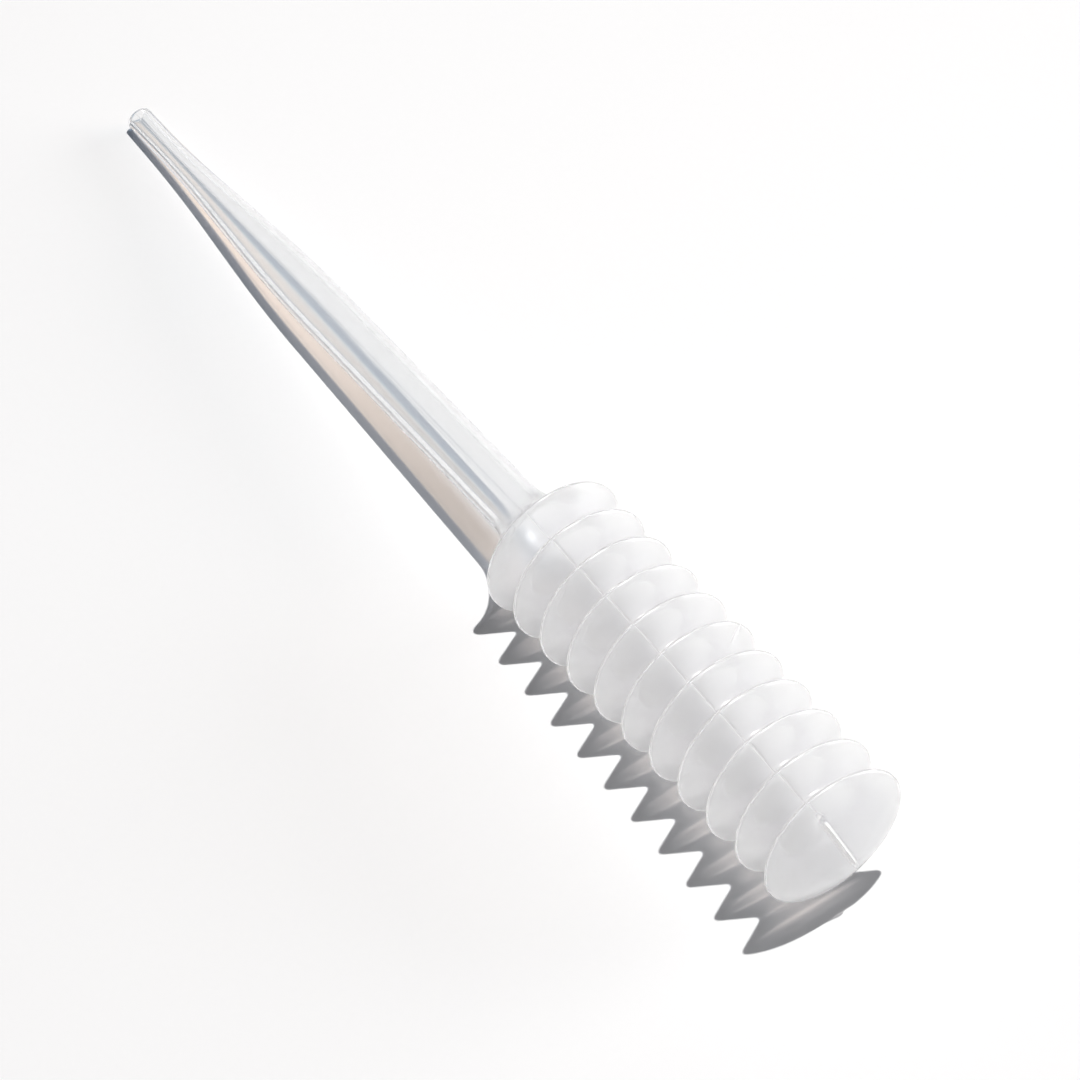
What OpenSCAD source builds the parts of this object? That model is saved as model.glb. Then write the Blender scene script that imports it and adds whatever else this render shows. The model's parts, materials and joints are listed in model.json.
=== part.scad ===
// Bellows dropper pipette, blow moulded in one piece, open at the tip and pinched shut at the bulb's end.
// It lies on a level surface: the mouth's lip and the first fold touch it, and the bulb's end stands clear.

/* [Stem] */
// Length from the mouth to the first fold's widest line
stem_l = 81; // [64:1:110]
// Outer diameter of the stem's straight body
stem_d = 5.9; // [4.8:0.1:7.2]
// Wall of the stem's straight body
stem_wall = 0.9; // [0.6:0.05:1.1]
// Radius of the flare that leads from the stem into the first fold
flare_round = 7.5; // [5:0.25:9.5]

/* [Tip] */
// Outer diameter of the tip
tip_d = 3; // [2.6:0.1:3.8]
// Diameter of the bore through the tip
tip_bore_d = 1.5; // [1:0.05:1.8]
// Length of the straight land behind the mouth
tip_land_l = 5.4; // [3:0.2:9]
// Length of the taper from the land up to the straight body
taper_l = 32; // [20:1:40]
// Radius of the melted lip's inner and outer edges
lip_round = 0.3; // [0.1:0.02:0.36]

/* [Bellows] */
// Number of folds
fold_count = 11; // [4:1:16]
// Distance from one fold to the next
fold_pitch = 4.65; // [3.8:0.05:6]
// Outer diameter across a fold
fold_d = 16.5; // [13.5:0.1:20]
// Outer diameter at the bottom of the groove between two folds
groove_d = 9.5; // [8:0.1:11.5]
// Outer radius of a fold's edge
fold_round = 0.32; // [0.26:0.01:0.5]
// Outer radius at the bottom of a groove
groove_round = 0.4; // [0.2:0.02:0.6]
// Wall of the bellows and of the end cap
bellows_wall = 0.22; // [0.16:0.01:0.26]
// Width of the small flat spot that the soft first fold rests on
rest_flat_w = 3; // [1.6:0.1:4]

/* [End cap] */
// Height of the closed end above the last fold's widest line
cap_rise = 1.5; // [0.8:0.05:3]
// Length of the pinch-off weld across the closed end
pinch_l = 9.9; // [6:0.1:12]
// Thickness of the pinch-off weld
pinch_w = 0.4; // [0.2:0.02:0.8]
// Height that the weld stands proud of the closed end
pinch_h = 0.35; // [0.1:0.05:0.8]
// Angle of the mould's parting plane from straight up, as the pipette lies
parting_angle = 22.5; // [0:0.5:45]

/* [Hidden] */
$fn = 96;

// Straight pieces to each arc or curve of the outline
edge_steps = 4;
flare_steps = 10;
taper_steps = 14;
cap_steps = 9;
// Pieces to the weld's top line: an odd number, so that one lies flat across the axis
weld_steps = 17;
// Share of its half-length at which the weld's rounded outline stops, which leaves its ends square
weld_share = 0.9;
// How far a cutting form runs past what it cuts
past = 1;
// The closed end follows 1 - x^cap_power from its middle out to its edge
cap_power = 3;

stem_r = stem_d / 2;
bore_r = stem_r - stem_wall;
tip_r = tip_d / 2;
tip_bore_r = tip_bore_d / 2;

// Middles of the edge circles of a fold and of a groove
fold_c = fold_d / 2 - fold_round;
groove_c = groove_d / 2 + groove_round;
fold_inner = max(fold_round - bellows_wall, 0.03);

// The flank touches both edge circles: its lean from the pipette's axis
half_pitch = fold_pitch / 2;
flank_drop = fold_c - groove_c;
flank_angle = atan2(flank_drop, half_pitch)
    + asin((fold_round + groove_round) / norm([flank_drop, half_pitch]));

// Where the last fold's edge turns into the end cap
cap_edge = atan(cap_power * (cap_rise - fold_round) / fold_c);
end_z = stem_l + fold_pitch * (fold_count - 1);

// How far the flat spot lies in from the first fold's circle
rest_dent = (fold_d - sqrt(pow(fold_d, 2) - pow(rest_flat_w, 2))) / 2;

// Angle at which the pipette lies: a floor line touches the lip's circle and the first fold's flat spot
lip_c = tip_r - lip_round;
lie_run = stem_l - lip_round;
lie_drop = fold_c - rest_dent - lip_c;
lie_angle = atan2(lie_drop, lie_run) + asin((fold_round - lip_round) / norm([lie_run, lie_drop]));
mouth_h = lip_round * (1 - sin(lie_angle)) + lip_c * cos(lie_angle);

// Furthest reach each way along the floor, which sets the origin midway between
cap_edge_r = fold_c + fold_round * sin(cap_edge);
cap_edge_z = end_z + fold_round * cos(cap_edge);
cap_top = end_z + cap_rise - cap_edge_z;
far_slope = cos(parting_angle) * tan(lie_angle);
far_x = pow(far_slope * cap_edge_r / (cap_power * cap_top), 1 / (cap_power - 1));
reach_tip = lip_round * (cos(lie_angle) - 1) - lip_c * sin(lie_angle);
reach_end = (cap_z(far_x) + pinch_h) * cos(lie_angle)
    + far_x * cap_edge_r * cos(parting_angle) * sin(lie_angle);
mid_x = (reach_tip + reach_end) / 2;

// Every outline point is [distance from the axis, distance along it from the mouth].
// Angles turn from the axis, pointing at the closed end, out towards the rim.
function arc(centre, radius, from, to, steps) = [
    for (i = [0:steps])
    let (a = from + (to - from) * i / steps)
    centre + radius * [sin(a), cos(a)]
];

// Smooth step between the tip and the stem's straight body
function ease(x) = x * x * (3 - 2 * x);

// Lip, land and taper: side is +1 on the outside of the wall and -1 on its inside
function stem_side(side, land_r, body_r) = concat(
    arc([land_r - side * lip_round, lip_round], lip_round, 180, 180 - side * 90, edge_steps),
    [for (i = [0:taper_steps])
        [land_r + (body_r - land_r) * ease(i / taper_steps), tip_land_l + taper_l * i / taper_steps]]
);

// Flare that leaves the stem along the axis and touches the first fold's edge circle
function flare_z(body_r, round, edge) =
    stem_l - sqrt(pow(round + edge, 2) - pow(body_r + round - fold_c, 2));
function flare_end(body_r, round, edge) =
    atan2(fold_c - body_r - round, stem_l - flare_z(body_r, round, edge));
function flare_side(body_r, round, edge) = concat(
    arc([body_r + round, flare_z(body_r, round, edge)], round,
        -90, flare_end(body_r, round, edge), flare_steps),
    arc([fold_c, stem_l], edge, 180 + flare_end(body_r, round, edge), 90 - flank_angle, edge_steps)
);

// Grooves and folds after the first: edge is a fold's radius and hollow is a groove's
function fold_side(edge, hollow) = [
    for (k = [1:fold_count - 1])
    each concat(
        arc([groove_c, stem_l + fold_pitch * (k - 0.5)], hollow,
            270 - flank_angle, 270 + flank_angle, edge_steps),
        arc([fold_c, stem_l + fold_pitch * k], edge,
            90 + flank_angle, k < fold_count - 1 ? 90 - flank_angle : cap_edge, edge_steps)
    )
];

// Height of the closed end at a share x of its radius. Its middle is a small flat disc
function cap_z(x) = cap_edge_z + cap_top * (1 - pow(x, cap_power));
function cap_side(wall) = [
    for (i = [1:cap_steps])
    [cap_edge_r * (1 - i / cap_steps), cap_z(max(cap_steps - i, 1) / cap_steps) - wall]
];

outer_side = concat(
    [[0, 0]],
    stem_side(1, tip_r, stem_r),
    flare_side(stem_r, flare_round, fold_round),
    fold_side(fold_round, groove_round),
    cap_side(0)
);
inner_side = concat(
    [[0, -past], [tip_bore_r + lip_round, -past]],
    stem_side(-1, tip_bore_r, bore_r),
    flare_side(bore_r, flare_round + (stem_wall + bellows_wall) / 2, fold_inner),
    fold_side(fold_inner, groove_round + bellows_wall),
    cap_side(bellows_wall)
);

// Weld where the mould pinched the tube shut, standing on the closed end in the parting plane
module pinch_off() {
    reach = pinch_l / 2;
    line = [for (i = [0:weld_steps]) reach * (2 * i / weld_steps - 1)];
    foot = bellows_wall / 2;
    rotate([0, 0, parting_angle])
    rotate([90, 0, 0])
    linear_extrude(height = pinch_w, center = true)
    polygon(concat(
        [for (x = line) [x, cap_z(abs(x) / cap_edge_r) + pinch_h * sqrt(1 - pow(weld_share * x / reach, 4))]],
        [for (x = line) [-x, cap_z(abs(x) / cap_edge_r) - foot]]
    ));
}

// As the pipette lies
module lying() {
    translate([-mid_x, 0, mouth_h])
    rotate([0, 90 - lie_angle, 0])
    children();
}

// What is lower than a height, below the first fold
module under(height) {
    span = 2 * rest_flat_w;
    translate([stem_l * cos(lie_angle) - mid_x, 0, height - span / 2])
    cube(span, center = true);
}

// The floor cuts the flat spot, and the hollow stays a wall's thickness above it
module pipette() {
    color([0.93, 0.95, 0.96])
    difference() {
        lying() {
            rotate_extrude() polygon(outer_side);
            pinch_off();
        }
        under(0);
        difference() {
            lying() rotate_extrude() polygon(inner_side);
            under(bellows_wall);
        }
    }
}

pipette();
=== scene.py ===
# %% [markdown]
# # A bellows dropper pipette
#
# A dropper pipette is one hollow piece of soft plastic. A slim stem narrows to an open tip, and a
# bulb of eleven folds at the other end is squeezed to draw liquid up. This script takes the packed
# construction model as its fixed frame and makes the visible shape and finish around it.
# Lengths are in millimetres until the body is laid in place, and Blender's own unit is the metre.

# %% The frame
import json
from math import asin, atan2, cos, degrees, exp, pi, radians, sin

import bmesh
import bpy
from mathutils import Matrix, Vector


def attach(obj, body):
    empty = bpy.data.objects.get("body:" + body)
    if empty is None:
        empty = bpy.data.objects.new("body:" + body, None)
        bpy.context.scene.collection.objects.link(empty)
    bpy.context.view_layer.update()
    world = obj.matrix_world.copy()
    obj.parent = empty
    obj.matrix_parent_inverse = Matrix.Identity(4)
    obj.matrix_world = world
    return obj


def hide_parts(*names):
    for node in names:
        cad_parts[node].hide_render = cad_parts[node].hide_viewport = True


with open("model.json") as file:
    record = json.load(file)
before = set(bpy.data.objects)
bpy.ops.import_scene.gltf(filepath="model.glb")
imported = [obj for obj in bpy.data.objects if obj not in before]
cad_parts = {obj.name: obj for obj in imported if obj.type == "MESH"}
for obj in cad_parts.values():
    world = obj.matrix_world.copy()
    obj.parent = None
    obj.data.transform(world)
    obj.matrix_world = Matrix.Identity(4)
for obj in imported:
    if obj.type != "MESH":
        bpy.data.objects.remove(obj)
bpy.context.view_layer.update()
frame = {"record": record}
scene = bpy.context.scene
MM = 0.001

# %% [markdown]
# ## Where the pipette's axis lies
#
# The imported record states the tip's bore as a mount: a point on the axis and the direction out of
# the mouth. The point is the middle of the straight bore, so the mouth's plane lies half a bore's
# length and a lip's rounding further out. The body is drawn upright, with its mouth at zero and its
# axis along +Z, and then one matrix lays it down where the frame says.

# %% The matrix that lays the pipette down
LIP_ROUND = 0.3
bore = frame["record"]["mounts"][0]
inwards = -Vector(bore["axis"]).normalized()
bore_middle = LIP_ROUND + bore["dims"]["length_mm"] / 2
mouth = Vector(bore["pos_m"]) - inwards * bore_middle * MM
lean = atan2(inwards.x, inwards.z)
laid = Matrix.Translation(mouth) @ Matrix.Rotation(lean, 4, "Y") @ Matrix.Scale(MM, 4)
print("the axis rises", round(90 - degrees(lean), 2), "degrees from the floor")

# %% [markdown]
# ## The wall's outline
#
# On the real pipette the wall is blown: a soft tube is closed in a mould and air pushes it out, so
# that the bulb's wall is thin and each fold is crisp, while the stem stays thick. The outline could
# be a list of many points, but a few corners say more: each corner is then rounded by the Bevel
# operator with the same radius that the mould has. One list runs up the inside of the wall and one
# runs up the outside, and the rounded lip joins them.

# %% Sizes of the pipette
STEM_LENGTH = 81.0
FOLDS = 11
PITCH = 4.65
LAST_FOLD = STEM_LENGTH + PITCH * (FOLDS - 1)
END = 129.0
TIP_R, TIP_BORE_R = 1.5, 0.75
STEM_R, STEM_BORE_R = 2.95, 2.05
TAPER_FOOT, TAPER_TOP, TAPER_CUT = 10.73, 32.07, 5.33
CAP_CORNER_R = 5.75
BELLOWS_WALL = 0.22
GROOVE_PIECES, FOLD_PIECES = 7, 6
print("the last fold is", LAST_FOLD, "mm from the mouth")

# %% Corners of the outline
# A corner is its height, its radius, how far from it the bevel starts, and the bevel's pieces.


def folds_of(fold_r, groove_r, fold_cut, groove_cut):
    """Corners of each groove and of the fold after it, from the first groove to the last fold."""
    corners = []
    for k in range(1, FOLDS):
        corners.append((STEM_LENGTH + PITCH * (k - 0.5), groove_r, groove_cut, GROOVE_PIECES))
        corners.append((STEM_LENGTH + PITCH * k, fold_r, fold_cut, FOLD_PIECES))
    return corners


def flat_end(height):
    """Points from the closed end's flat middle in to the axis, close enough for the weld's relief."""
    return [(height, step / 2, 0, 0) for step in range(6, -1, -1)]


outside = [
    (0.0, TIP_R, LIP_ROUND, 5),
    (TAPER_FOOT, TIP_R, TAPER_CUT, 8),
    (TAPER_TOP, STEM_R, TAPER_CUT, 8),
    (78.966, STEM_R, 5.1, 14),  # where the stem flares
    (80.932, 8.725, 0.893, 6),  # the first fold's edge
    *folds_of(8.582, 4.309, 0.685, 0.856),
    (END, CAP_CORNER_R, 2.6, 10),
    *flat_end(END),
]
inside = [
    (0.0, TIP_BORE_R, LIP_ROUND, 5),
    (TAPER_FOOT, TIP_BORE_R, TAPER_CUT, 6),
    (TAPER_TOP, STEM_BORE_R, TAPER_CUT, 6),
    (79.45, STEM_BORE_R, 5.9, 12),  # where the bore flares
    (80.967, 8.202, 0.2135, 4),  # the first fold's inner edge
    *folds_of(8.140, 3.846, 0.2135, 1.327),
    (END - BELLOWS_WALL, CAP_CORNER_R, 2.4, 8),
    *flat_end(END - BELLOWS_WALL),
]
print("corners outside and inside:", len(outside), len(inside))

# %% [markdown]
# ## Turning the outline
#
# The corners become a wire, the bevels round it, and Spin turns it about the axis into a closed
# shell. With `use_merge` the last copy lands on the first. The two ends of the wire lie on the axis,
# so their copies are merged into one point each, and only then are the normals turned outwards.

# %% Spin the shell
TURNS = 160
SAME_PLACE = 0.0005


def rounded_wire(corners):
    """A bmesh with one wire through the corners, each rounded by a bevel of its own cut."""
    bm = bmesh.new()
    points = [bm.verts.new((radius, 0, height)) for height, radius, _, _ in corners]
    for a, b in zip(points, points[1:]):
        bm.edges.new((a, b))
    kinds = sorted({corner[2:] for corner in corners if corner[2]}, reverse=True)
    for cut_back, pieces in kinds:
        group = [p for p, corner in zip(points, corners) if corner[2:] == (cut_back, pieces)]
        bmesh.ops.bevel(
            bm, geom=group, offset=cut_back, offset_type="OFFSET", segments=pieces,
            profile=0.5, affect="VERTICES", material=-1,
        )
    return bm


shell = rounded_wire(inside[::-1] + outside)
print("points on the outline:", len(shell.verts))
bmesh.ops.spin(
    shell, geom=shell.verts[:] + shell.edges[:], cent=(0, 0, 0), axis=(0, 0, 1),
    angle=2 * pi, steps=TURNS, use_merge=True, use_duplicate=False,
)
bmesh.ops.remove_doubles(shell, verts=shell.verts[:], dist=SAME_PLACE)
bmesh.ops.recalc_face_normals(shell, faces=shell.faces[:])
print("faces:", len(shell.faces), "open edges:", sum(not e.is_manifold for e in shell.edges))

# %% [markdown]
# ## The parting line
#
# Where the mould's two halves met, the plastic has a hair-fine raised line. It runs down both sides
# in one plane, 22.5 degrees from straight up. A separate strip would leave a join, so the shell is
# cut along three planes parallel to the parting plane, and the points of the middle cut are raised.

# %% Cut and raise the parting line
PARTING = radians(22.5)
RIDGE_HALF = 0.05
RIDGE_HIGH = 0.05
ON_PLANE = 0.01
across = Vector((-sin(PARTING), cos(PARTING), 0))
along = Vector((cos(PARTING), sin(PARTING), 0))


def cut(bm, geom, offset, normal):
    """One straight cut through the geometry, at an offset along the normal."""
    bmesh.ops.bisect_plane(
        bm, geom=geom, dist=SAME_PLACE, plane_co=normal * offset, plane_no=normal,
    )


def is_outside(v):
    """True on the outer side of the wall, whose normals lean away from the axis or out of the end."""
    return v.normal.xy.dot(v.co.xy) > 0 or (v.co.z > LAST_FOLD and v.normal.z > 0)


for offset in (-RIDGE_HALF, RIDGE_HALF, 0.0):
    cut(shell, shell.verts[:] + shell.edges[:] + shell.faces[:], offset, across)
shell.normal_update()
ridge = [
    v for v in shell.verts
    if abs(v.co.dot(across)) < ON_PLANE and LIP_ROUND < v.co.z < LAST_FOLD + 1 and is_outside(v)
]
for v in ridge:
    v.co += v.normal * RIDGE_HIGH
print("points raised:", len(ridge))

# %% [markdown]
# ## A crease in one fold
#
# Thin soft folds keep a mark where they were squeezed hard. The sixth fold has one short crease that
# runs from its rim in towards the groove. Straight cuts beside and across it give both sides of the
# wall some points there, and these are pushed along the axis, deepest on the crease itself.

# %% Where the crease runs
CREASED_FOLD = STEM_LENGTH + 5 * PITCH
CREASE_HALF = 0.24
CREASE_DEEP = 0.14
CREASE_LENGTH = 2.8
CREASE_FADE = 1.5


def around(angle, radius):
    """A point at this many degrees round the axis and this far from it."""
    return Vector((-cos(radians(angle)), sin(radians(angle)), 0)) * radius


rim_end = around(50, 8.2)
groove_end = around(40, 5.5)
crease = (groove_end - rim_end).normalized()
off_crease = Vector((-crease.y, crease.x, 0))


def crease_place(point):
    """How far a point is beside the crease, and how far along it from the rim."""
    return (point - rim_end).dot(off_crease), (point - rim_end).dot(crease)


print("the crease runs", CREASE_LENGTH, "mm in from the rim of the sixth fold")

# %% Crease the sixth fold


def with_edges_and_points(faces):
    """These faces together with their edges and points, as the cuts take them."""
    edges = {e for f in faces for e in f.edges}
    return list({v for f in faces for v in f.verts}) + list(edges) + faces


def creased_parts(bm):
    """The sixth fold's upper flank within about a millimetre of the crease, both sides of its wall."""
    faces = []
    for f in bm.faces:
        middle = f.calc_center_median()
        aside, inwards_by = crease_place(middle)
        near = abs(aside) < 1 and -1 < inwards_by < 4
        if near and CREASED_FOLD - 0.4 < middle.z < CREASED_FOLD + PITCH / 2:
            faces.append(f)
    return with_edges_and_points(faces)


for share in (-1, -0.5, 0, 0.5, 1):
    cut(shell, creased_parts(shell), rim_end.dot(off_crease) + share * CREASE_HALF, off_crease)
for offset in (0.25, 0.6, 1.0, 1.6, 2.2, 2.7):
    cut(shell, creased_parts(shell), rim_end.dot(crease) + offset, crease)
pressed = 0
for v in shell.verts:
    aside, inwards_by = crease_place(v.co)
    share = 1 - abs(aside) / CREASE_HALF
    if share > 0 and -0.2 < inwards_by < CREASE_LENGTH and 0 < v.co.z - CREASED_FOLD < PITCH / 2:
        v.co.z -= CREASE_DEEP * share * min(1, (CREASE_LENGTH - inwards_by) / CREASE_FADE)
        pressed += 1
print("points pressed in:", pressed)

# %% [markdown]
# ## The pinch-off weld
#
# The mould's end pinches the soft tube shut. It leaves a narrow raised weld across the closed end,
# in the parting plane, with a shallow trough on each side and a dimple where the plastic folded in
# at one end. The cap gets straight cuts beside and across the weld, and its points are then moved
# along the axis by the weld's height there.

# %% Cut the closed end
CAP_FOOT = LAST_FOLD + 0.3
CUTS_BESIDE = (0.1, 0.2, 0.3, 0.42, 0.6, 0.85, 1.2, 1.7, 2.4)
CUTS_PAST = (4.2, 4.5, 4.8, 5.0, 5.2, 5.5, 5.9, 6.4)


def cap_parts(bm):
    """The closed end's points, edges and faces, on both sides of its wall."""
    cap = {v for v in bm.verts if v.co.z > CAP_FOOT}
    return with_edges_and_points([f for f in bm.faces if all(v in cap for v in f.verts)])


for direction, offsets in ((across, CUTS_BESIDE), (along, CUTS_PAST)):
    for offset in offsets:
        for side in (-1, 1):
            cut(shell, cap_parts(shell), side * offset, direction)
shell.normal_update()
print("faces with the closed end cut:", len(shell.faces))

# %% Shape the weld
SHAPED_FROM = LAST_FOLD + 0.45
WELD_HIGH, WELD_HALF, WELD_ENDS = 0.35, 0.3, (4.5, 5.0)
TROUGH_DEEP, TROUGH_AT, TROUGH_WIDE, TROUGH_ENDS = 0.12, 0.38, 0.2, (4.6, 5.2)
HOLLOW_DEEP, HOLLOW_WIDE, HOLLOW_ENDS = 0.16, 1.3, (4.2, 6.8)
DIMPLE_DEEP, DIMPLE_AT, DIMPLE_LONG, DIMPLE_ASIDE = 0.5, 5.2, 0.7, 0.15


def smooth(x, low, high):
    """0 below low, 1 above high, and a smooth step between."""
    t = min(max((x - low) / (high - low), 0), 1)
    return t * t * (3 - 2 * t)


def bell(x, wide):
    """1 at zero, falling away on both sides like a bell."""
    return exp(-((x / wide) ** 2))


def weld_bar(x, y):
    """How high the bead stands at x along the weld and y across it."""
    rounded = (1 - smooth(abs(y), 0.0, WELD_HALF)) ** 0.8
    return WELD_HIGH * rounded * (1 - smooth(abs(x), *WELD_ENDS))


def weld_sink(x, y):
    """How far the wall is drawn in: a trough by the bead, a wide hollow and a dimple at its end."""
    trough = TROUGH_DEEP * bell(abs(y) - TROUGH_AT, TROUGH_WIDE) * (1 - smooth(abs(x), *TROUGH_ENDS))
    hollow = HOLLOW_DEEP * bell(y, HOLLOW_WIDE) * (1 - smooth(abs(x), *HOLLOW_ENDS))
    dimple_wide = 0.55 + 0.3 * max(x + 5.4, 0)
    dimple = DIMPLE_DEEP * bell(x + DIMPLE_AT, DIMPLE_LONG) * bell(y - DIMPLE_ASIDE, dimple_wide)
    return trough + hollow + dimple


for v in shell.verts:
    if v.co.z > SHAPED_FROM:
        x, y = v.co.dot(along), v.co.dot(across)
        v.co.z += (weld_bar(x, y) if is_outside(v) else 0) - weld_sink(x, y)
print("the end stands", round(max(v.co.z for v in shell.verts) - LAST_FOLD, 2), "mm past the last fold")

# %% [markdown]
# ## Laying it down
#
# The soft first fold gives a little where it bears on the surface. After the shell is laid in place,
# what would lie below the floor is pressed flat, and the inner wall stays a wall's thickness above.

# %% Lay the shell on the floor
outer = [v for v in shell.verts if is_outside(v)]
inner = [v for v in shell.verts if not is_outside(v)]
bmesh.ops.transform(shell, matrix=laid, verts=shell.verts[:])
for points, floor_z in ((outer, 0.0), (inner, BELLOWS_WALL * MM)):
    for v in points:
        v.co.z = max(v.co.z, floor_z)
bmesh.ops.recalc_face_normals(shell, faces=shell.faces[:])
mesh = bpy.data.meshes.new("moulded_body")
shell.to_mesh(mesh)
shell.free()
mesh.shade_smooth()
body = bpy.data.objects.new("moulded_body", mesh)
scene.collection.objects.link(body)
print("triangles:", sum(len(p.vertices) - 2 for p in mesh.polygons))

# %% [markdown]
# ## A node helper and colours
#
# One small function adds a shader node with its settings and links, and one turns a hex colour, as
# a picture editor shows it, into the linear values that Blender's sockets take.

# %% Node and colour helpers
MIX_A, MIX_B, MIXED = 6, 7, 2  # where a colour Mix node keeps its two colours and its result


def linear(hex_code):
    """An sRGB hex value as linear red, green, blue and an alpha of 1."""
    channels = [int(hex_code[i:i + 2], 16) / 255 for i in (1, 3, 5)]
    return [c / 12.92 if c <= 0.04045 else ((c + 0.055) / 1.055) ** 2.4 for c in channels] + [1]


def node(tree, kind, settings=None, inputs=None, links=None):
    """A node of this kind, with its own settings, socket values and incoming links."""
    made = tree.nodes.new(kind)
    for name, value in (settings or {}).items():
        setattr(made, name, value)
    for name, value in (inputs or {}).items():
        made.inputs[name].default_value = value
    for name, socket in (links or {}).items():
        tree.links.new(socket, made.inputs[name])
    return made


def new_material(name):
    """An empty node material and its tree."""
    material = bpy.data.materials.new(name)
    material.use_nodes = True
    material.node_tree.nodes.clear()
    return material, material.node_tree


print("mid grey in linear values:", [round(c, 3) for c in linear("#808080")])

# %% [markdown]
# ## Low-density polyethylene, blow moulded
#
# Natural low-density polyethylene has no pigment. Where the stem's thick wall cooled against
# polished steel, it is clear and glossy with a slight milkiness. Where the bulb's wall was blown
# thin against a blasted mould, it scatters light like frosted film: its outer face is still smooth
# enough to shine, while what lies behind it is blurred to soft light and dark. The clear part's
# tint is a little darker in the grooves than at the rims, as painted shade for the deep grooves.

# %% Where a point is on the pipette
GROOVE_END_R, RIM_START_R = 4.8 * MM, 7.8 * MM
FROST_FROM, FROST_TO = 70 * MM, 81.5 * MM
ldpe, tree = new_material("ldpe_blow_moulded")
coordinates = node(tree, "ShaderNodeTexCoord").outputs
place = coordinates["Object"]
from_mouth = node(
    tree, "ShaderNodeVectorMath", {"operation": "SUBTRACT"}, {1: mouth}, {0: place},
).outputs["Vector"]
height = node(
    tree, "ShaderNodeVectorMath", {"operation": "DOT_PRODUCT"}, {1: inwards}, {0: from_mouth},
).outputs["Value"]
along_axis = node(
    tree, "ShaderNodeVectorMath", {"operation": "SCALE"}, {0: inwards}, {"Scale": height},
).outputs["Vector"]
radius = node(
    tree, "ShaderNodeVectorMath", {"operation": "DISTANCE"}, links={0: from_mouth, 1: along_axis},
).outputs["Value"]
groove_to_rim = node(
    tree, "ShaderNodeMapRange", {"interpolation_type": "SMOOTHSTEP"},
    {"From Min": GROOVE_END_R, "From Max": RIM_START_R, "To Min": 0.0, "To Max": 1.0},
    {"Value": radius},
).outputs["Result"]
frosted = node(
    tree, "ShaderNodeMapRange", {"interpolation_type": "SMOOTHSTEP"},
    {"From Min": FROST_FROM, "From Max": FROST_TO, "To Min": 0.0, "To Max": 1.0}, {"Value": height},
).outputs["Result"]
print("frosting grows from", FROST_FROM / MM, "to", FROST_TO / MM, "mm from the mouth")

# %% Roughness and grain
GRAIN = 0.35 * MM  # the blasted mould's own grain is finer, and would not show
GRAIN_DEEP, GRAIN_STRENGTH = 0.02 * MM, 0.04
CLOUD = 6 * MM
STEM_ROUGH, BULB_ROUGH, ROUGH_SPREAD = 0.05, 0.24, 0.06
grain = node(
    tree, "ShaderNodeTexNoise",
    inputs={"Scale": 1 / GRAIN, "Detail": 2.0, "Roughness": 0.6}, links={"Vector": place},
).outputs["Fac"]
cloud = node(
    tree, "ShaderNodeTexNoise",
    inputs={"Scale": 1 / CLOUD, "Detail": 3.0, "Roughness": 0.55}, links={"Vector": place},
).outputs["Fac"]
finish_roughness = node(
    tree, "ShaderNodeMapRange",
    inputs={"From Min": 0.0, "From Max": 1.0, "To Min": STEM_ROUGH, "To Max": BULB_ROUGH},
    links={"Value": frosted},
).outputs["Result"]
uneven = node(
    tree, "ShaderNodeMath", {"operation": "MULTIPLY_ADD"},
    {1: ROUGH_SPREAD, 2: -ROUGH_SPREAD / 2}, {0: cloud},
).outputs["Value"]
roughness = node(
    tree, "ShaderNodeMath", {"operation": "ADD"}, links={0: finish_roughness, 1: uneven},
).outputs["Value"]
bump_strength = node(
    tree, "ShaderNodeMath", {"operation": "MULTIPLY"}, {1: GRAIN_STRENGTH}, {0: frosted},
).outputs["Value"]
bump = node(
    tree, "ShaderNodeBump", inputs={"Distance": GRAIN_DEEP},
    links={"Height": grain, "Strength": bump_strength},
).outputs["Normal"]
print("grain and cloudiness:", round(GRAIN / MM, 2), "and", round(CLOUD / MM, 2), "mm across")

# %% The clear part of the wall
LDPE_IOR = 1.51
bulb_glass = node(
    tree, "ShaderNodeMix", {"data_type": "RGBA"},
    {MIX_A: linear("#fcfcfd"), MIX_B: linear("#ffffff")}, {0: cloud},
).outputs[MIXED]
# Painted shade: the clear part is tinted a little darker in the grooves than at the rims.
groove_shade_glass = node(
    tree, "ShaderNodeMix", {"data_type": "RGBA"},
    {MIX_A: linear("#f5f5f7")}, {0: groove_to_rim, MIX_B: bulb_glass},
).outputs[MIXED]
glass_tint = node(
    tree, "ShaderNodeMix", {"data_type": "RGBA"},
    {MIX_A: linear("#f6f6f6")}, {0: frosted, MIX_B: groove_shade_glass},
).outputs[MIXED]
glassy = node(
    tree, "ShaderNodeBsdfPrincipled", inputs={"IOR": LDPE_IOR, "Transmission Weight": 1.0},
    links={"Base Color": glass_tint, "Roughness": roughness, "Normal": bump},
)
print("refractive index of the plastic:", LDPE_IOR)

# %% [markdown]
# ## Milkiness
#
# The rest of the light is scattered in the plastic: some is sent back and some is passed on. It shows
# most on the parting line, the closed end and the weld's bead, where the wall is thicker. Where more
# than a quarter of the light is scattered, the denoiser keeps the surface's own lines. So the parting
# line's share is just above a quarter, and the shares of the plain wall and the closed end are below.

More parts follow.
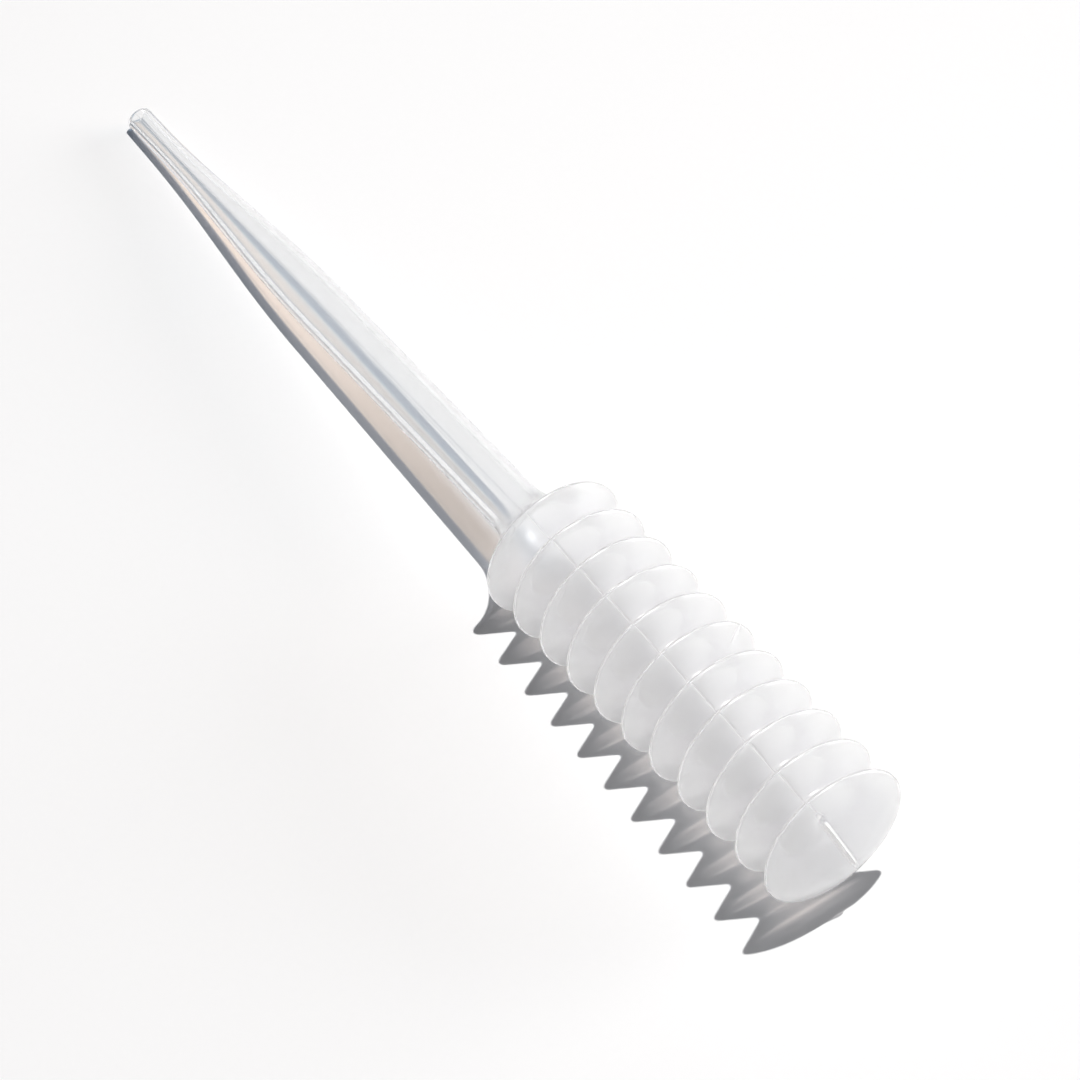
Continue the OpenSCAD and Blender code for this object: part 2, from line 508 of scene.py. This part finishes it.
# %% Where the parting line and the bead are
BEAD_HALF, BEAD_EDGE = 0.2 * MM, 0.34 * MM
BEAD_FROM, BEAD_TO = 128.2 * MM, 128.6 * MM
seam_across = (laid.to_3x3() @ across).normalized()
across_seam = node(
    tree, "ShaderNodeVectorMath", {"operation": "DOT_PRODUCT"}, {1: seam_across}, {0: from_mouth},
).outputs["Value"]
from_seam = node(
    tree, "ShaderNodeMath", {"operation": "ABSOLUTE"}, links={0: across_seam},
).outputs["Value"]
beside_seam = node(
    tree, "ShaderNodeMapRange", {"interpolation_type": "SMOOTHSTEP"},
    {"From Min": BEAD_HALF, "From Max": BEAD_EDGE, "To Min": 1.0, "To Max": 0.0},
    {"Value": from_seam},
).outputs["Result"]
past_end = node(
    tree, "ShaderNodeMapRange", {"interpolation_type": "SMOOTHSTEP"},
    {"From Min": BEAD_FROM, "From Max": BEAD_TO, "To Min": 0.0, "To Max": 1.0}, {"Value": height},
).outputs["Result"]
bead = node(
    tree, "ShaderNodeMath", {"operation": "MULTIPLY"}, links={0: beside_seam, 1: past_end},
).outputs["Value"]
print("the parting plane leans", round(degrees(PARTING), 1), "degrees from straight up")

# %% How much is milky
MILKY_STEM, MILKY_BULB = 0.10, 0.19
MORE_ON_SEAM, MORE_AT_END, MORE_ON_BEAD = 0.08, 0.04, 0.5
SEAM_HALF, SEAM_EDGE = 0.02 * MM, 0.05 * MM
THICKER_FROM, THICKER_TO = 127.4 * MM, END * MM
wall_share = node(
    tree, "ShaderNodeMapRange",
    inputs={"From Min": 0.0, "From Max": 1.0, "To Min": MILKY_STEM, "To Max": MILKY_BULB},
    links={"Value": frosted},
).outputs["Result"]
seam_share = node(
    tree, "ShaderNodeMapRange",
    inputs={"From Min": SEAM_HALF, "From Max": SEAM_EDGE, "To Min": MORE_ON_SEAM, "To Max": 0.0},
    links={"Value": from_seam},
).outputs["Result"]
at_end = node(
    tree, "ShaderNodeMapRange", {"interpolation_type": "SMOOTHSTEP"},
    {"From Min": THICKER_FROM, "From Max": THICKER_TO, "To Min": 0.0, "To Max": 1.0}, {"Value": height},
).outputs["Result"]
with_seam = node(
    tree, "ShaderNodeMath", {"operation": "ADD"}, links={0: wall_share, 1: seam_share},
).outputs["Value"]
with_end = node(
    tree, "ShaderNodeMath", {"operation": "MULTIPLY_ADD"},
    {1: MORE_AT_END}, {0: at_end, 2: with_seam},
).outputs["Value"]
milky_share = node(
    tree, "ShaderNodeMath", {"operation": "MULTIPLY_ADD"},
    {1: MORE_ON_BEAD}, {0: bead, 2: with_end},
).outputs["Value"]
print("milky share of the stem and the bulb:", MILKY_STEM, "and", MILKY_BULB)

# %% The milky part and its gloss
SENT_BACK, SENT_BACK_BY_BEAD = 0.4, 0.5
GLOSS_FACING, GLOSS_GRAZING, GRAZING_POWER = 0.04, 0.6, 5.0
milk = node(
    tree, "ShaderNodeMix", {"data_type": "RGBA"},
    {MIX_A: linear("#f6f6f6"), MIX_B: linear("#fefefe")}, {0: frosted},
).outputs[MIXED]
passed_on = node(tree, "ShaderNodeBsdfTranslucent", links={"Color": milk})
sent_back = node(tree, "ShaderNodeBsdfDiffuse", links={"Color": milk})
share_back = node(
    tree, "ShaderNodeMath", {"operation": "MULTIPLY_ADD"},
    {1: SENT_BACK_BY_BEAD, 2: SENT_BACK}, {0: bead},
).outputs["Value"]
milky = node(
    tree, "ShaderNodeMixShader",
    links={0: share_back, 1: passed_on.outputs[0], 2: sent_back.outputs[0]},
)
gloss = node(
    tree, "ShaderNodeBsdfAnisotropic", inputs={"Color": linear("#ffffff")},
    links={"Roughness": roughness, "Normal": bump},
)
oblique = node(tree, "ShaderNodeLayerWeight", inputs={"Blend": 0.5}).outputs["Facing"]
grazing = node(
    tree, "ShaderNodeMath", {"operation": "POWER"}, {1: GRAZING_POWER}, {0: oblique},
).outputs["Value"]
mirrored = node(
    tree, "ShaderNodeMath", {"operation": "MULTIPLY_ADD"},
    {1: GLOSS_GRAZING, 2: GLOSS_FACING}, {0: grazing},
).outputs["Value"]
glazed = node(
    tree, "ShaderNodeMixShader", links={0: mirrored, 1: milky.outputs[0], 2: gloss.outputs[0]},
)
seen_wall = node(
    tree, "ShaderNodeMixShader", links={0: milky_share, 1: glassy.outputs[0], 2: glazed.outputs[0]},
)
print("mirrored straight on:", GLOSS_FACING, "and at the rim:", GLOSS_FACING + GLOSS_GRAZING)

# %% [markdown]
# ## The shadow of a clear wall
#
# Lamps are small, and light that bends through clear plastic on its way from a small lamp is very
# slow to trace. So rays towards a lamp, and rays that a matt surface has scattered, pass straight
# through the wall with a tint instead: warmer in the thick stem, and darker where they graze the
# wall, as the real shadow's rim is. A round wall also spreads colours a little, so the stem's shadow is
# bluish on the lamp's side, and it deepens from the thin tip to the thick body. The tint has to know
# the wall's outer side from its inner one: on the outer side the face's normal and the direction out
# from the axis agree.

# %% Which side of the wall a ray meets
LAMP_SIDE_WIDE = 1.4 * MM
outwards = node(
    tree, "ShaderNodeVectorMath", {"operation": "SUBTRACT"}, links={0: from_mouth, 1: along_axis},
).outputs["Vector"]
facing_out = node(
    tree, "ShaderNodeVectorMath", {"operation": "DOT_PRODUCT"},
    links={0: coordinates["Normal"], 1: outwards},
).outputs["Value"]
behind = node(tree, "ShaderNodeNewGeometry").outputs["Backfacing"]
turned = node(
    tree, "ShaderNodeMath", {"operation": "MULTIPLY_ADD"}, {1: -2.0, 2: 1.0}, {0: behind},
).outputs["Value"]
outer_side = node(
    tree, "ShaderNodeMath", {"operation": "MULTIPLY"}, links={0: facing_out, 1: turned},
).outputs["Value"]
is_outer = node(
    tree, "ShaderNodeMath", {"operation": "GREATER_THAN"}, {1: 0.0}, {0: outer_side},
).outputs["Value"]
across_stem = node(tree, "ShaderNodeSeparateXYZ", links={"Vector": place}).outputs["Y"]
lamp_side = node(
    tree, "ShaderNodeMapRange", {"interpolation_type": "SMOOTHSTEP"},
    {"From Min": 0.0, "From Max": LAMP_SIDE_WIDE, "To Min": 0.0, "To Max": 1.0},
    {"Value": across_stem},
).outputs["Result"]
print("nodes so far:", len(tree.nodes))

# %% Where the stem's shadow has its dark edges
TIP_TO, STEM_FROM = 8 * MM, 30 * MM
TIP_EDGE, STEM_EDGE = 0.06, 0.2  # how obliquely light meets the wall just past the bore
EDGE_FADE = 0.14
LAMP_SIDE_LESS = 0.85
bore_edge = node(
    tree, "ShaderNodeMapRange",
    inputs={"From Min": TIP_TO, "From Max": STEM_FROM, "To Min": TIP_EDGE, "To Max": STEM_EDGE},
    links={"Value": height},
).outputs["Result"]
narrowed = node(
    tree, "ShaderNodeMath", {"operation": "MULTIPLY_ADD"},
    {1: -LAMP_SIDE_LESS, 2: 1.0}, {0: lamp_side},
).outputs["Value"]
edge_start = node(
    tree, "ShaderNodeMath", {"operation": "MULTIPLY"}, links={0: bore_edge, 1: narrowed},
).outputs["Value"]
into_wall = node(
    tree, "ShaderNodeMath", {"operation": "SUBTRACT"}, links={0: oblique, 1: edge_start},
).outputs["Value"]
past_bore = node(
    tree, "ShaderNodeMapRange", {"interpolation_type": "SMOOTHSTEP"},
    {"From Min": 0.0, "From Max": EDGE_FADE, "To Min": 0.0, "To Max": 1.0}, {"Value": into_wall},
).outputs["Result"]
print("the edge starts at", TIP_EDGE, "by the tip and", STEM_EDGE, "on the stem")

# %% The stem's shadow
THIN_TO, THICK_FROM = 20 * MM, 85 * MM
edge_tint = node(
    tree, "ShaderNodeMix", {"data_type": "RGBA"},
    {MIX_A: linear("#52657a"), MIX_B: linear("#278bad")}, {0: lamp_side},
).outputs[MIXED]
thicker = node(
    tree, "ShaderNodeMapRange", {"interpolation_type": "SMOOTHSTEP"},
    {"From Min": THIN_TO, "From Max": THICK_FROM, "To Min": 0.0, "To Max": 1.0}, {"Value": height},
).outputs["Result"]
warm_tint = node(
    tree, "ShaderNodeMix", {"data_type": "RGBA"},
    {MIX_A: linear("#efe4da"), MIX_B: linear("#bfb5ab")}, {0: thicker},
).outputs[MIXED]
body_tint = node(
    tree, "ShaderNodeMix", {"data_type": "RGBA"},
    {MIX_B: linear("#eaebed")}, {0: lamp_side, MIX_A: warm_tint},
).outputs[MIXED]
stem_outer = node(
    tree, "ShaderNodeMix", {"data_type": "RGBA"},
    links={0: past_bore, MIX_A: body_tint, MIX_B: edge_tint},
).outputs[MIXED]
stem_tint = node(
    tree, "ShaderNodeMix", {"data_type": "RGBA"},
    {MIX_A: linear("#ffffff")}, {0: is_outer, MIX_B: stem_outer},
).outputs[MIXED]
print("the stem's shadow deepens from", round(THIN_TO / MM), "to", round(THICK_FROM / MM), "mm")

# %% The bulb's shadow
SKIM_FROM, SKIM_TO = 0.33, 0.78
STREAK_WIDE, STREAK_LONG = 0.28 * MM, 14 * MM
STREAK_FROM, STREAK_TO, STREAK_LEFT = 0.5, 0.7, 0.7
skimmed = node(
    tree, "ShaderNodeMapRange",
    inputs={"From Min": SKIM_FROM, "From Max": SKIM_TO, "To Min": 0.0, "To Max": 1.0},
    links={"Value": oblique},
).outputs["Result"]
drawn_out = node(
    tree, "ShaderNodeMapping",
    inputs={"Scale": (1 / STREAK_WIDE, 1 / STREAK_LONG, 1 / STREAK_LONG)}, links={"Vector": place},
).outputs["Vector"]
streak = node(
    tree, "ShaderNodeTexNoise",
    inputs={"Scale": 1.0, "Detail": 3.0, "Roughness": 0.7}, links={"Vector": drawn_out},
).outputs["Fac"]
streak_light = node(
    tree, "ShaderNodeMapRange",
    inputs={"From Min": STREAK_FROM, "From Max": STREAK_TO, "To Min": 1.0, "To Max": STREAK_LEFT},
    links={"Value": streak},
).outputs["Result"]
darkened = node(
    tree, "ShaderNodeMath", {"operation": "MULTIPLY"}, links={0: skimmed, 1: streak_light},
).outputs["Value"]
bulb_tint = node(
    tree, "ShaderNodeMix", {"data_type": "RGBA"},
    {MIX_A: linear("#f0edeb"), MIX_B: linear("#5d6169")}, {0: darkened},
).outputs[MIXED]
print("streaks:", round(STREAK_WIDE / MM, 2), "mm wide and", round(STREAK_LONG / MM), "mm long")

# %% One finish for every kind of ray
SCATTERED_AGAIN = 0.08
through = node(
    tree, "ShaderNodeMix", {"data_type": "RGBA"},
    links={0: frosted, MIX_A: stem_tint, MIX_B: bulb_tint},
).outputs[MIXED]
shadow_wall = node(tree, "ShaderNodeBsdfTransparent", links={"Color": through})
open_wall = node(tree, "ShaderNodeBsdfTransparent", inputs={"Color": linear("#fefefe")})
passed_wall = node(
    tree, "ShaderNodeMixShader", inputs={0: SCATTERED_AGAIN},
    links={1: open_wall.outputs[0], 2: milky.outputs[0]},
)
path = node(tree, "ShaderNodeLightPath").outputs
wall = node(
    tree, "ShaderNodeMixShader",
    links={0: path["Is Diffuse Ray"], 1: seen_wall.outputs[0], 2: passed_wall.outputs[0]},
)
finish = node(
    tree, "ShaderNodeMixShader",
    links={0: path["Is Shadow Ray"], 1: wall.outputs[0], 2: shadow_wall.outputs[0]},
)
node(tree, "ShaderNodeOutputMaterial", links={"Surface": finish.outputs[0]})
mesh.materials.append(ldpe)
print("nodes in the plastic:", len(tree.nodes))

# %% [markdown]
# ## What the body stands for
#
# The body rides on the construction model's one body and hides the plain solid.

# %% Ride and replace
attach(body, "root")
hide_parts("pipette")
print("pieces:", body.name)

# %% [markdown]
# ## The floor
#
# A sheet of matt white card. It keeps the pipette's shadow, and a very fine tooth stops it from
# looking like nothing at all.

# %% Card on the floor
FLOOR_HALF = 3.0
TOOTH = 0.8 * MM
card, tree = new_material("matt_white_card")
place = node(tree, "ShaderNodeTexCoord").outputs["Object"]
tooth = node(
    tree, "ShaderNodeTexNoise", inputs={"Scale": 1 / TOOTH, "Detail": 2.0}, links={"Vector": place},
).outputs["Fac"]
shade = node(
    tree, "ShaderNodeMix", {"data_type": "RGBA"},
    {MIX_A: linear("#f9f9fb"), MIX_B: linear("#fbfbfd")}, {0: tooth},
).outputs[MIXED]
matt = node(tree, "ShaderNodeBsdfDiffuse", links={"Color": shade})
node(tree, "ShaderNodeOutputMaterial", links={"Surface": matt.outputs[0]})
sheet = bmesh.new()
bmesh.ops.create_grid(sheet, x_segments=1, y_segments=1, size=FLOOR_HALF)
floor_mesh = bpy.data.meshes.new("floor")
sheet.to_mesh(floor_mesh)
sheet.free()
floor_mesh.materials.append(card)
floor = bpy.data.objects.new("floor", floor_mesh)
scene.collection.objects.link(floor)
print("the card is", 2 * FLOOR_HALF, "m across")

# %% [markdown]
# ## Light
#
# A small lamp high above gives the hard-edged shadow. A wide, low light from the far side brightens the
# flanks that face it, as a window beside the table would, and a faint cool sky fills the rest.
# Together they light a white surface at about the level at which its colour renders as written.
# What the plastic mirrors or bends into view is a bright, plain room.

# %% Lamp and window
LAMP_AT = Vector((56.1, 100.1, 740.5)) * MM
LAMP_AIM = Vector((9.6, 3.1, 0)) * MM
WINDOW_AT = Vector((0.35, 0.9, 0.10))  # a sun lamp, so only its direction counts
lamp_data = bpy.data.lights.new("lamp", "AREA")
lamp_data.shape = "DISK"
lamp_data.size = 15 * MM
lamp_data.energy = 4.85
lamp_data.color = (1.0, 0.985, 0.96)
lamp_data.cycles.use_multiple_importance_sampling = False
window_data = bpy.data.lights.new("soft_box", "SUN")
window_data.angle = 0.8
window_data.energy = 2.6
for name, data, at, aim in (
    ("lamp", lamp_data, LAMP_AT, LAMP_AIM),
    ("soft_box", window_data, WINDOW_AT, Vector()),
):
    light = bpy.data.objects.new(name, data)
    light.location = at
    light.rotation_euler = (at - aim).to_track_quat("Z", "Y").to_euler()
    scene.collection.objects.link(light)
    print(name, "gives", round(data.energy, 2))

# %% Sky
world = bpy.data.worlds.new("sky")
scene.world = world
world.use_nodes = True
tree = world.node_tree
tree.nodes.clear()
path = node(tree, "ShaderNodeLightPath").outputs
seen_or_mirrored = node(
    tree, "ShaderNodeMath", {"operation": "MAXIMUM"},
    links={0: path["Is Camera Ray"], 1: path["Is Glossy Ray"]},
).outputs["Value"]
seen = node(
    tree, "ShaderNodeMath", {"operation": "MAXIMUM"},
    links={0: seen_or_mirrored, 1: path["Is Transmission Ray"]},
).outputs["Value"]
fill = node(tree, "ShaderNodeBackground", inputs={"Color": (0.92, 0.96, 1.0, 1), "Strength": 0.06})
room = node(tree, "ShaderNodeBackground", inputs={"Color": (0.97, 0.985, 1.0, 1), "Strength": 1.0})
sky = node(
    tree, "ShaderNodeMixShader", links={0: seen, 1: fill.outputs[0], 2: room.outputs[0]},
)
node(tree, "ShaderNodeOutputWorld", links={"Surface": sky.outputs[0]})
print("nodes in the sky:", len(tree.nodes))

# %% [markdown]
# ## Camera
#
# A long lens looks down at the pipette from beyond the bulb's side.

# %% Camera
CAMERA_AIM = Vector((9.629, 3.074, 0)) * MM
CAMERA_AWAY = 445.4 * MM
back = Vector((0.49467, -0.35950, 0.79124)).normalized()
right = Vector((0.57753, 0.81631, 0.00983)).normalized()
up = back.cross(right)
camera_data = bpy.data.cameras.new("camera")
camera_data.lens = 141.5
camera_data.sensor_width = 36
camera_data.clip_start = 10 * MM
camera = bpy.data.objects.new("camera", camera_data)
turn = Matrix((right, up, back)).transposed().to_4x4()
camera.matrix_world = Matrix.Translation(CAMERA_AIM + back * CAMERA_AWAY) @ turn
scene.collection.objects.link(camera)
scene.camera = camera
print("the camera looks down at", round(degrees(asin(back.z)), 1), "degrees")

# %% [markdown]
# ## View and light paths
#
# Light meets four surfaces each time it crosses the bulb, and more where folds overlap. So it is
# followed through many bounces, and the clear plastic doesn't turn dark.

# %% View and light paths
scene.view_settings.view_transform = "Standard"
scene.cycles.max_bounces = 32
scene.cycles.diffuse_bounces = 20
scene.cycles.glossy_bounces = 12
scene.cycles.transmission_bounces = 24
scene.cycles.transparent_max_bounces = 32
print("most bounces:", scene.cycles.max_bounces)
